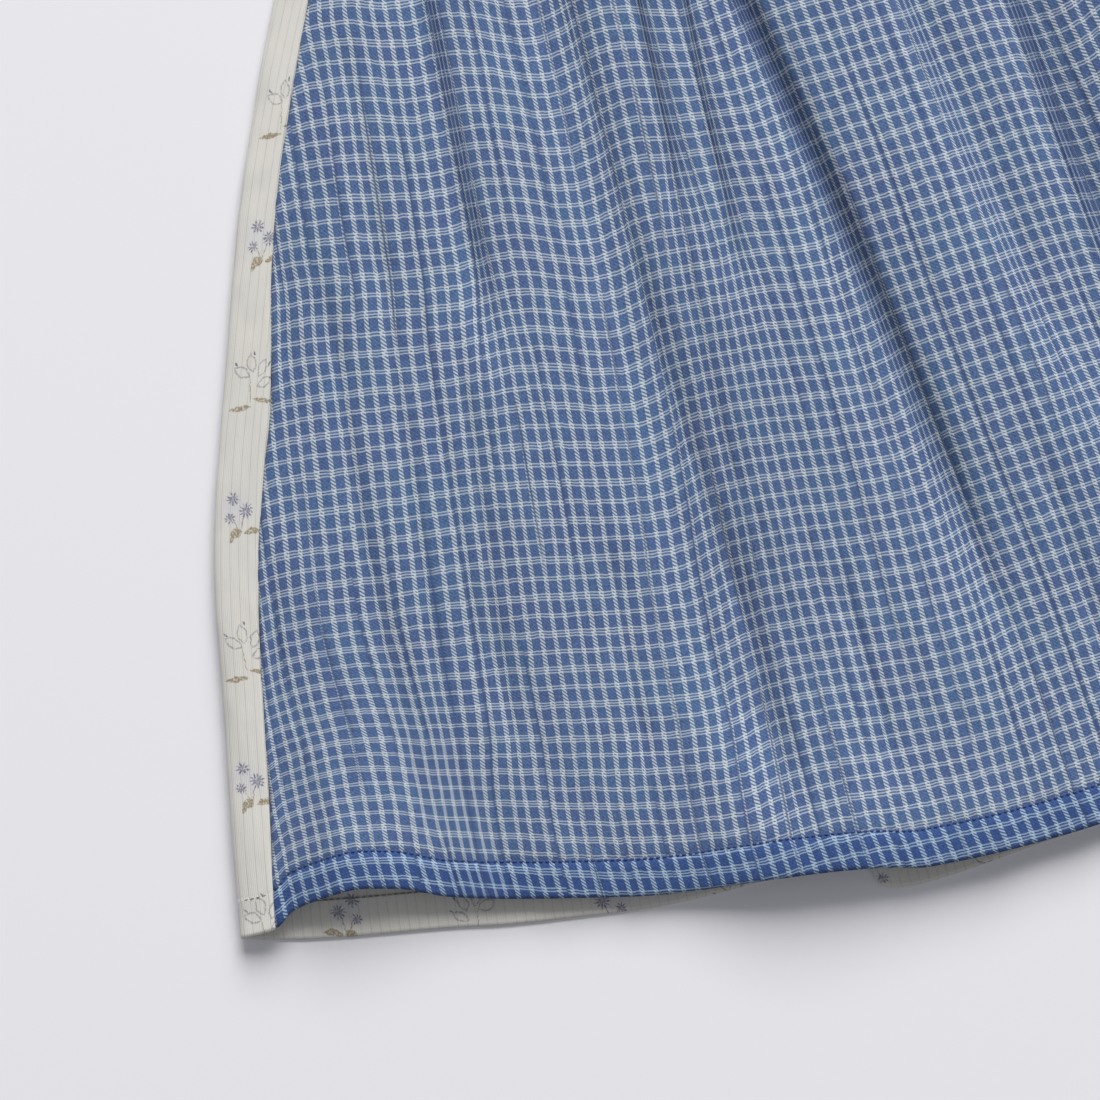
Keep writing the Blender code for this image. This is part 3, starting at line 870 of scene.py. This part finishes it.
# One part of a sprig: place, the way it points, its length and width
Part = namedtuple("Part", "x y angle long wide")
STARS = [Part(-1, 3.5, 0.3, 6.4, 11), Part(4.5, 8.0, 0.9, 5.6, 9), Part(5.5, 0.5, 0.1, 4.6, 9)]
SPRIG_LEAVES = [Part(-4.5, -4.2, 0.15, 5.6, 3.0), Part(-1.9, -4.9, -0.35, 3.8, 2.2),
                Part(3.0, -5.2, -0.5, 5.4, 4.0), Part(4.6, -7.6, -1.1, 3.6, 1.8)]
SPRIG_STEMS = [Part(0.6, -1.5, 1.75, 7, 0.5), Part(3.4, -1.5, 1.1, 8, 0.4)]
OUTLINES = [Part(-3.5, 6, 1.9, 7, 3.6), Part(1.5, 8, 1.3, 7, 3.6), Part(5.0, 4.5, 0.5, 7, 3.6),
            Part(-5.0, 0.5, 2.7, 6.5, 3.4)]
OUTLINE_LEAVES = [Part(-5.5, -6.5, 0.12, 11, 2.0), Part(4.5, -9.5, -0.15, 10, 2.4)]
OUTLINE_TICKS = [Part(-6.5, 7.5, 1.9, 2.6, 0.9), Part(-8.0, 2.5, 2.4, 2.4, 0.9),
                 Part(0.5, 12.0, 1.2, 2.4, 0.9), Part(7.5, 7.5, 0.8, 2.6, 0.9)]
OUTLINE_STEMS = [Part(1.0, -2.5, 1.45, 12, 0.4)]


def leaf_measure(p, a, b, part):
    """0 along a pointed leaf's rib, 1 on its outline."""
    c, s = float(np.cos(part.angle)), float(np.sin(part.angle))
    long = (c * (a - part.x) + s * (b - part.y)) / (part.long / 2)
    wide = (c * (b - part.y) - s * (a - part.x)) / (part.wide / 2)
    return p.maths("ABSOLUTE", wide) + long * long


def leaves(p, a, b, parts):
    """How far a place lies inside any of the leaves."""
    cover = 0.0
    for part in parts:
        inside = 1 - p.band(leaf_measure(p, a, b, part), 0.75, 1.1)
        cover = p.maths("MAXIMUM", cover, inside)
    return cover


def outlines(p, a, b, parts):
    """Thin drawn outlines of petals."""
    cover = 0.0
    for part in parts:
        off = p.maths("ABSOLUTE", leaf_measure(p, a, b, part) - 1.0)
        cover = p.maths("MAXIMUM", cover, 1 - p.band(off, 0.08, 0.3))
    return cover


def stars(p, a, b, parts):
    """Small many-pointed flowers."""
    cover = 0.0
    for part in parts:
        x, y = a - part.x, b - part.y
        far = p.maths("SQRT", x * x + y * y) / (part.long / 2)
        turn = p.maths("ARCTAN2", y, x) * (part.wide / 2) + part.angle
        reach = 0.22 + 0.78 * p.maths("ABSOLUTE", p.maths("COSINE", turn))
        cover = p.maths("MAXIMUM", cover, (1 - p.band(far / reach, 0.7, 1.15)) * (0.6 + 0.4 * far))
    return cover


def sprigs(p, u, v, cloth):
    """Two small sprigs in turn, each column half a repeat lower than the one before."""
    over = (u - SPRIG_FIRST[0]) / SPRIG_ACROSS
    column_at = p.maths("FLOOR", over + 0.5)
    a = (over - column_at) * (SPRIG_ACROSS / SPRIG_SCALE)
    drop = p.maths("FRACT", column_at * 0.5)
    up = (v - SPRIG_FIRST[1]) / SPRIG_ALONG + drop
    b = (up - p.maths("FLOOR", up)) * (SPRIG_ALONG / SPRIG_SCALE)
    low, high = (b - SPRIG_ALONG / SPRIG_SCALE * part for part in (0.25, 0.75))
    a = a + 1.6 * (p.noise(u / 2.2, v / 2.2, 11.0) - 0.5)
    low, high = (part + 1.6 * (p.noise(u / 2.2, v / 2.2, 21.0) - 0.5) for part in (low, high))
    broken = p.band(p.noise(u / 0.9, v / 1.2, 12.0, 1.0), 0.2, 0.6)
    halo = 1 - p.band(p.maths("SQRT", (a - 3) * (a - 3) + (low - 4) * (low - 4)), 3.0, 9.0)
    cloth = p.mix(halo * 0.35, cloth, SPRIG_HALO)
    tan = p.maths("MAXIMUM", leaves(p, a, low, SPRIG_LEAVES + SPRIG_STEMS),
                  leaves(p, a, high, OUTLINE_LEAVES + OUTLINE_STEMS))
    cloth = p.mix(tan * broken, cloth, SPRIG_TAN)
    ink = p.maths("MAXIMUM", outlines(p, a, high, OUTLINES) * 0.55,
                  leaves(p, a, high, OUTLINE_TICKS) * 0.9)
    cloth = p.mix(ink * broken, cloth, SPRIG_INK)
    return p.mix(stars(p, a, low, STARS) * broken, cloth, SPRIG_PLUM)


def cream_cotton():
    """Cream cotton with a fine woven rib and small sprigs."""
    p = Paint("cream_cotton", 0.88)
    u, v = p.cloth_position()
    u2 = u + 0.7 * (p.noise(u / 14.0, v / 30.0, 1.0) - 0.5)
    rib_place = p.maths("ABSOLUTE", p.maths("FRACT", u2 / RIB_PITCH) - 0.5) * RIB_PITCH
    rib = (1 - p.band(rib_place, 0.1, 0.4)) * (0.3 + 0.9 * p.noise(u / 3.0, v / 12.0, 5.0))
    cord = p.maths("SINE", u2 * (2 * np.pi / CORD_PITCH)) * 0.5 + 0.5
    yarn = p.noise(u / 0.3, v / 0.5, 2.0, 1.0)
    cloth = p.mix(p.noise(u / 40.0, v / 40.0, 8.0), CREAM, CREAM_SHADE)
    cloth = sprigs(p, u, v, cloth)
    cloth = p.shade(cloth, 0.96 - 0.13 * rib - 0.04 * cord + 0.08 * yarn)
    p.feed(p.shader.inputs["Base Color"], cloth)
    p.shader.inputs["Sheen Weight"].default_value = 0.1
    p.bump(0.12 * cord + 0.1 * yarn - 0.2 * rib + 0.7 * p.noise(u / 6.0, v / 24.0, 4.0), 0.6)
    return p.material


def floor_paint():
    """Plain pale floor."""
    p = Paint("pale_floor", 0.85)
    place = p.add("ShaderNodeTexCoord")
    spread = p.add("ShaderNodeTexNoise", Vector=p.out(place, "Object"), Scale=3.0, Detail=2.0)
    p.feed(p.shader.inputs["Base Color"], p.mix(p.out(spread, "Fac"), FLOOR_PALE, FLOOR_PALER))
    return p.material


def front_cloth(material):
    """The checked front, in place of its solid."""
    rows, columns = FRONT_GRID
    laid = front_surface(np.linspace(-1, 1, columns), even_rows(rows))
    u, v, crowd = front_weave(laid)
    thick = np.where(laid.row <= HEM_DEPTH, FINE_HEM, FINE_CLOTH)
    piece = shell("front_cloth", laid.x, laid.y, laid.z, thick, material, 1, u, v, laid.row)
    # The crowding also masks the painted shade in the long folds
    add_value(piece, "crowd", np.tile(crowd.ravel(), 2))
    return piece


def back_cloth(material):
    """The cream back, in place of its solid."""
    rows, columns = BACK_GRID
    x, y, z, row, half = back_surface(columns - 2 * ARC_STEPS, even_rows(rows))
    u, v = back_weave(x, y, z, half)
    normal = -normals(x, y, z)
    out = wall_half(row)
    soft = (0.5 * noise(41, u / 9.0, y / 34.0) + 0.25 * noise(42, u / 5.0, y / 9.0)) * (z > 3.0)
    out = out + soft
    x, y, z = x + normal[..., 0] * out, y + 0 * x, np.maximum(z + normal[..., 2] * out, 0.0)
    thick = np.where(row <= HEM_DEPTH, FINE_HEM, FINE_CLOTH)
    return shell("back_cloth", x, y, z, thick, material, -1, u, v, row)


def waistband_front_cloth(material):
    """Ruched casing over the top of the waist, between its side seams."""
    rows, columns = BAND_GRID
    heights = np.linspace(WAIST_SEAM + SEAM_GAP / 2, WAIST_SEAM + BAND_HEIGHT, rows)
    half, strip, loop = side(heights)
    inner = (half - strip - SEAM_GAP / 2)[:, None]
    share, y = np.meshgrid(np.linspace(-1, 1, columns), heights)
    x = share * inner
    up = (y - WAIST_SEAM) / BAND_HEIGHT
    ripple = (1.05 * np.sin(wave_phase(share, BAND_WAVES)) + 0.3 * noise(31, x / 3.2, y / 22)
              ) * (0.75 + 0.25 * np.sin(np.pi * up)) - 0.6
    groove = 0.7 * np.exp(-((y - WAIST_SEAM - 5) / 1.1) ** 2) + 1.2 * (1 - ease(up * 9))
    rolled = 1.3 * ease((up - 0.93) / 0.07)
    z = (loop + BAND_PROUD)[:, None] + ripple - groove - rolled
    z = z + (loop[:, None] - z) * (1 - ease((inner - np.abs(x)) / 3.0)) * 0.6
    thick = np.full(x.shape, CASING_FRONT)
    return shell("waistband_front_cloth", x, y, z, thick, material, 1,
                 x * BAND_EASE, y + 60, np.full(x.shape, 200.0))


def waistband_back_cloth(material):
    """Ruched casing round both folds and under the waist."""
    rows, columns = BAND_GRID
    heights = np.linspace(WAIST_SEAM + SEAM_GAP / 2, WAIST_SEAM + BAND_HEIGHT, rows)
    half, strip, loop = side(heights)
    low = np.full(rows, BAND_WALL / 2)
    top = loop + BAND_PROUD - low
    reach = (top - low) / 2
    arc_x, arc_z = fold_arc(half, reach, reach[:, None], top, low, BAND_ARC_STEPS)
    seam = (half - strip + SEAM_GAP / 2)[:, None]
    under = np.linspace(-1, 1, columns)[None, :] * (half - reach)[:, None]
    x = np.concatenate([-seam, -arc_x[:, :-1], under, arc_x[:, -2::-1], seam], axis=1)
    flat = np.repeat(low[:, None], columns, axis=1)
    z = np.concatenate([top[:, None], arc_z[:, :-1], flat, arc_z[:, -2::-1], top[:, None]], axis=1)
    y = np.repeat(heights[:, None], x.shape[1], axis=1)
    up = (y - WAIST_SEAM) / BAND_HEIGHT
    ripple = (1.0 * np.sin(wave_phase(x / half[:, None], BAND_WAVES))
              + 0.3 * noise(32, x / 3.2, y / 22) - 0.9)
    normal = -normals(x, y, z)
    out = BAND_WALL / 2 + np.minimum(ripple * (0.55 + 0.45 * np.sin(np.pi * up)) - 0.3, 0)
    out = out - 1.0 * (1 - ease(up * 9)) - 1.0 * ease((up - 0.93) / 0.07)
    x, z = x + normal[..., 0] * out, np.maximum(z + normal[..., 2] * out, 0.0)
    thick = np.full(x.shape, CASING_BACK)
    return shell("waistband_back_cloth", x, y, z, thick, material, -1,
                 x * BAND_EASE, y + 60, np.full(x.shape, 200.0))


def stitches(name, line, normal, length, radius, material):
    """Row of sewn stitches along a line of points, each a short bar that dips at its ends."""
    along = np.concatenate([[0], np.cumsum(np.linalg.norm(np.diff(line, axis=0), axis=1))])
    first = np.arange(STITCH_PITCH / 2, along[-1] - length / 2, STITCH_PITCH)
    station = np.array([-0.5, -0.25, 0.25, 0.5]) * length
    place = first[:, None] + station
    spine = np.stack([np.interp(place, along, line[:, i]) for i in range(3)], axis=-1)
    up = np.stack([np.interp(place, along, normal[:, i]) for i in range(3)], axis=-1)
    up = up / np.linalg.norm(up, axis=-1, keepdims=True)
    forward = np.gradient(spine, axis=1)
    forward = forward / np.linalg.norm(forward, axis=-1, keepdims=True)
    across = np.cross(up, forward)
    thin = np.array([0.35, 1.0, 1.0, 0.35])[None, :, None] * radius
    spine = spine + up * (np.array([-0.6, 0.5, 0.5, -0.6])[None, :, None] * radius)
    corners = [spine + across * thin * a + up * thin * b
               for a, b in ((1, 0.7), (-1, 0.7), (-1, -0.7), (1, -0.7))]
    points = np.stack(corners, axis=2).reshape(-1, 3)
    ring = np.arange(4)
    walls = [np.stack([k * 4 + ring, k * 4 + (ring + 1) % 4,
                       k * 4 + 4 + (ring + 1) % 4, k * 4 + 4 + ring], axis=-1) for k in range(3)]
    caps = [np.array([[3, 2, 1, 0]]), np.array([[12, 13, 14, 15]])]
    one = np.concatenate(walls + caps)
    faces = (one[None] + 16 * np.arange(len(first))[:, None, None]).reshape(-1, 4)
    return make_mesh(name, points, faces, material)


def front_hem_stitches(material):
    """Dark blue stitches along the top of the front's turned hem."""
    laid = front_surface(np.linspace(-0.997, 0.997, 1600), STITCH_ROWS)
    line = np.stack([laid.x, laid.y, laid.z], axis=-1)[1]
    normal = normals(laid.x, laid.y, laid.z)[1]
    return stitches("front_hem_stitches", line, normal, *FRONT_STITCH, material)


def back_hem_stitches(material):
    """Grey-brown stitches along the back's hem, one row seen inside and one outside."""
    x, y, z = back_surface(1500, STITCH_ROWS)[:3]
    normal = -normals(x, y, z)[1]
    middle = np.stack([x, y, z], axis=-1)[1]
    outer = middle + normal * (HEM_WALL / 2 + 0.02)
    inner = middle + normal * (HEM_WALL / 2 - FINE_HEM - 0.02)
    outer[:, 2] = np.maximum(outer[:, 2], 0.05)
    fold = ARC_STEPS // 2
    rows = (("back_hem_stitches_inside", inner, -normal),
            ("back_hem_stitches_left", outer[:fold], normal[:fold]),
            ("back_hem_stitches_right", outer[-fold:], normal[-fold:]))
    return [stitches(name, line, up, *BACK_STITCH, material) for name, line, up in rows]


def thread(name, tone):
    """Spun sewing thread, with its twist."""
    p = Paint(name, 0.7)
    place = p.add("ShaderNodeTexCoord")
    parts = p.add("ShaderNodeSeparateXYZ", _0=p.out(place, "Object"))
    x, y = p.out(parts, 0) * 1000.0, p.out(parts, 1) * 1000.0
    twist = p.maths("SINE", (x + y) * (2 * np.pi / 0.5)) * 0.5 + 0.5
    p.feed(p.shader.inputs["Base Color"], p.shade(tone, 0.75 + 0.35 * twist))
    p.shader.inputs["Sheen Weight"].default_value = 0.1
    p.bump(0.05 * twist, 0.5)
    return p.material


def floor(material):
    """Flat floor just under the skirt."""
    x, y = FLOOR_HALF * np.array([-1, 1, 1, -1]), FLOOR_HALF * np.array([-1, -1, 1, 1])
    corners = np.column_stack([x, y, np.full(4, FLOOR_LEVEL)])
    piece = make_mesh("floor", corners, np.array([[0, 1, 2, 3]]), material)


def studio():
    """Soft square light from the picture's upper right, over an even pale room."""
    world = bpy.data.worlds.new("room")
    bpy.context.scene.world = world
    world.use_nodes = True
    room = world.node_tree.nodes["Background"]
    room.inputs["Color"].default_value = ROOM_TINT
    room.inputs["Strength"].default_value = ROOM_STRENGTH
    right = np.array([np.cos(CAMERA_ROLL), -np.sin(CAMERA_ROLL)])
    up = np.array([np.sin(CAMERA_ROLL), np.cos(CAMERA_ROLL)])
    spot = np.array(CAMERA_OVER) + right * KEY_PLACE[0] + up * KEY_PLACE[1]
    data = bpy.data.lights.new("key", "AREA")
    data.shape = "SQUARE"
    data.size = KEY_SIZE * MM
    data.energy = KEY_POWER
    data.color = KEY_TINT
    key = bpy.data.objects.new("key", data)
    bpy.context.scene.collection.objects.link(key)
    place = np.array([*spot, KEY_HEIGHT]) * MM
    aim = np.array([*CAMERA_OVER, 0]) * MM - place
    key.location = place.tolist()
    key.rotation_euler = Vector(aim.tolist()).to_track_quat("-Z", "Y").to_euler()
    key.visible_camera = False


def camera():
    """Straight down on the skirt's lower left part, turned as the photo is."""
    data = bpy.data.cameras.new("camera")
    data.sensor_width = 36.0
    data.lens = data.sensor_width * CAMERA_HEIGHT / FRAME_WIDTH
    data.clip_end = 100
    eye = bpy.data.objects.new("camera", data)
    bpy.context.scene.collection.objects.link(eye)
    eye.location = (CAMERA_OVER[0] * MM, CAMERA_OVER[1] * MM, CAMERA_HEIGHT * MM)
    eye.rotation_euler = (0, 0, -CAMERA_ROLL)
    bpy.context.scene.camera = eye


gauze = checked_gauze()
cotton = cream_cotton()
front = front_cloth(gauze)
back = back_cloth(cotton)
band_front = waistband_front_cloth(gauze)
band_back = waistband_back_cloth(cotton)
blue_thread = thread("blue_thread", THREAD_BLUE)
brown_thread = thread("brown_thread", THREAD_BROWN)
front_sewing = front_hem_stitches(blue_thread)
back_sewing = back_hem_stitches(brown_thread)
for piece in [front_sewing, *back_sewing]:
    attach(piece, "root")
for piece, node, finish in ((front, "front_panel", "front_gauze"),
                            (back, "back_panel", "back_cotton"),
                            (band_front, "waistband_front", "front_gauze"),
                            (band_back, "waistband_back", "back_cotton")):
    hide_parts(node)
    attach(piece, "root")

floor(floor_paint())
studio()
camera()
bpy.context.scene.view_settings.view_transform = "Standard"
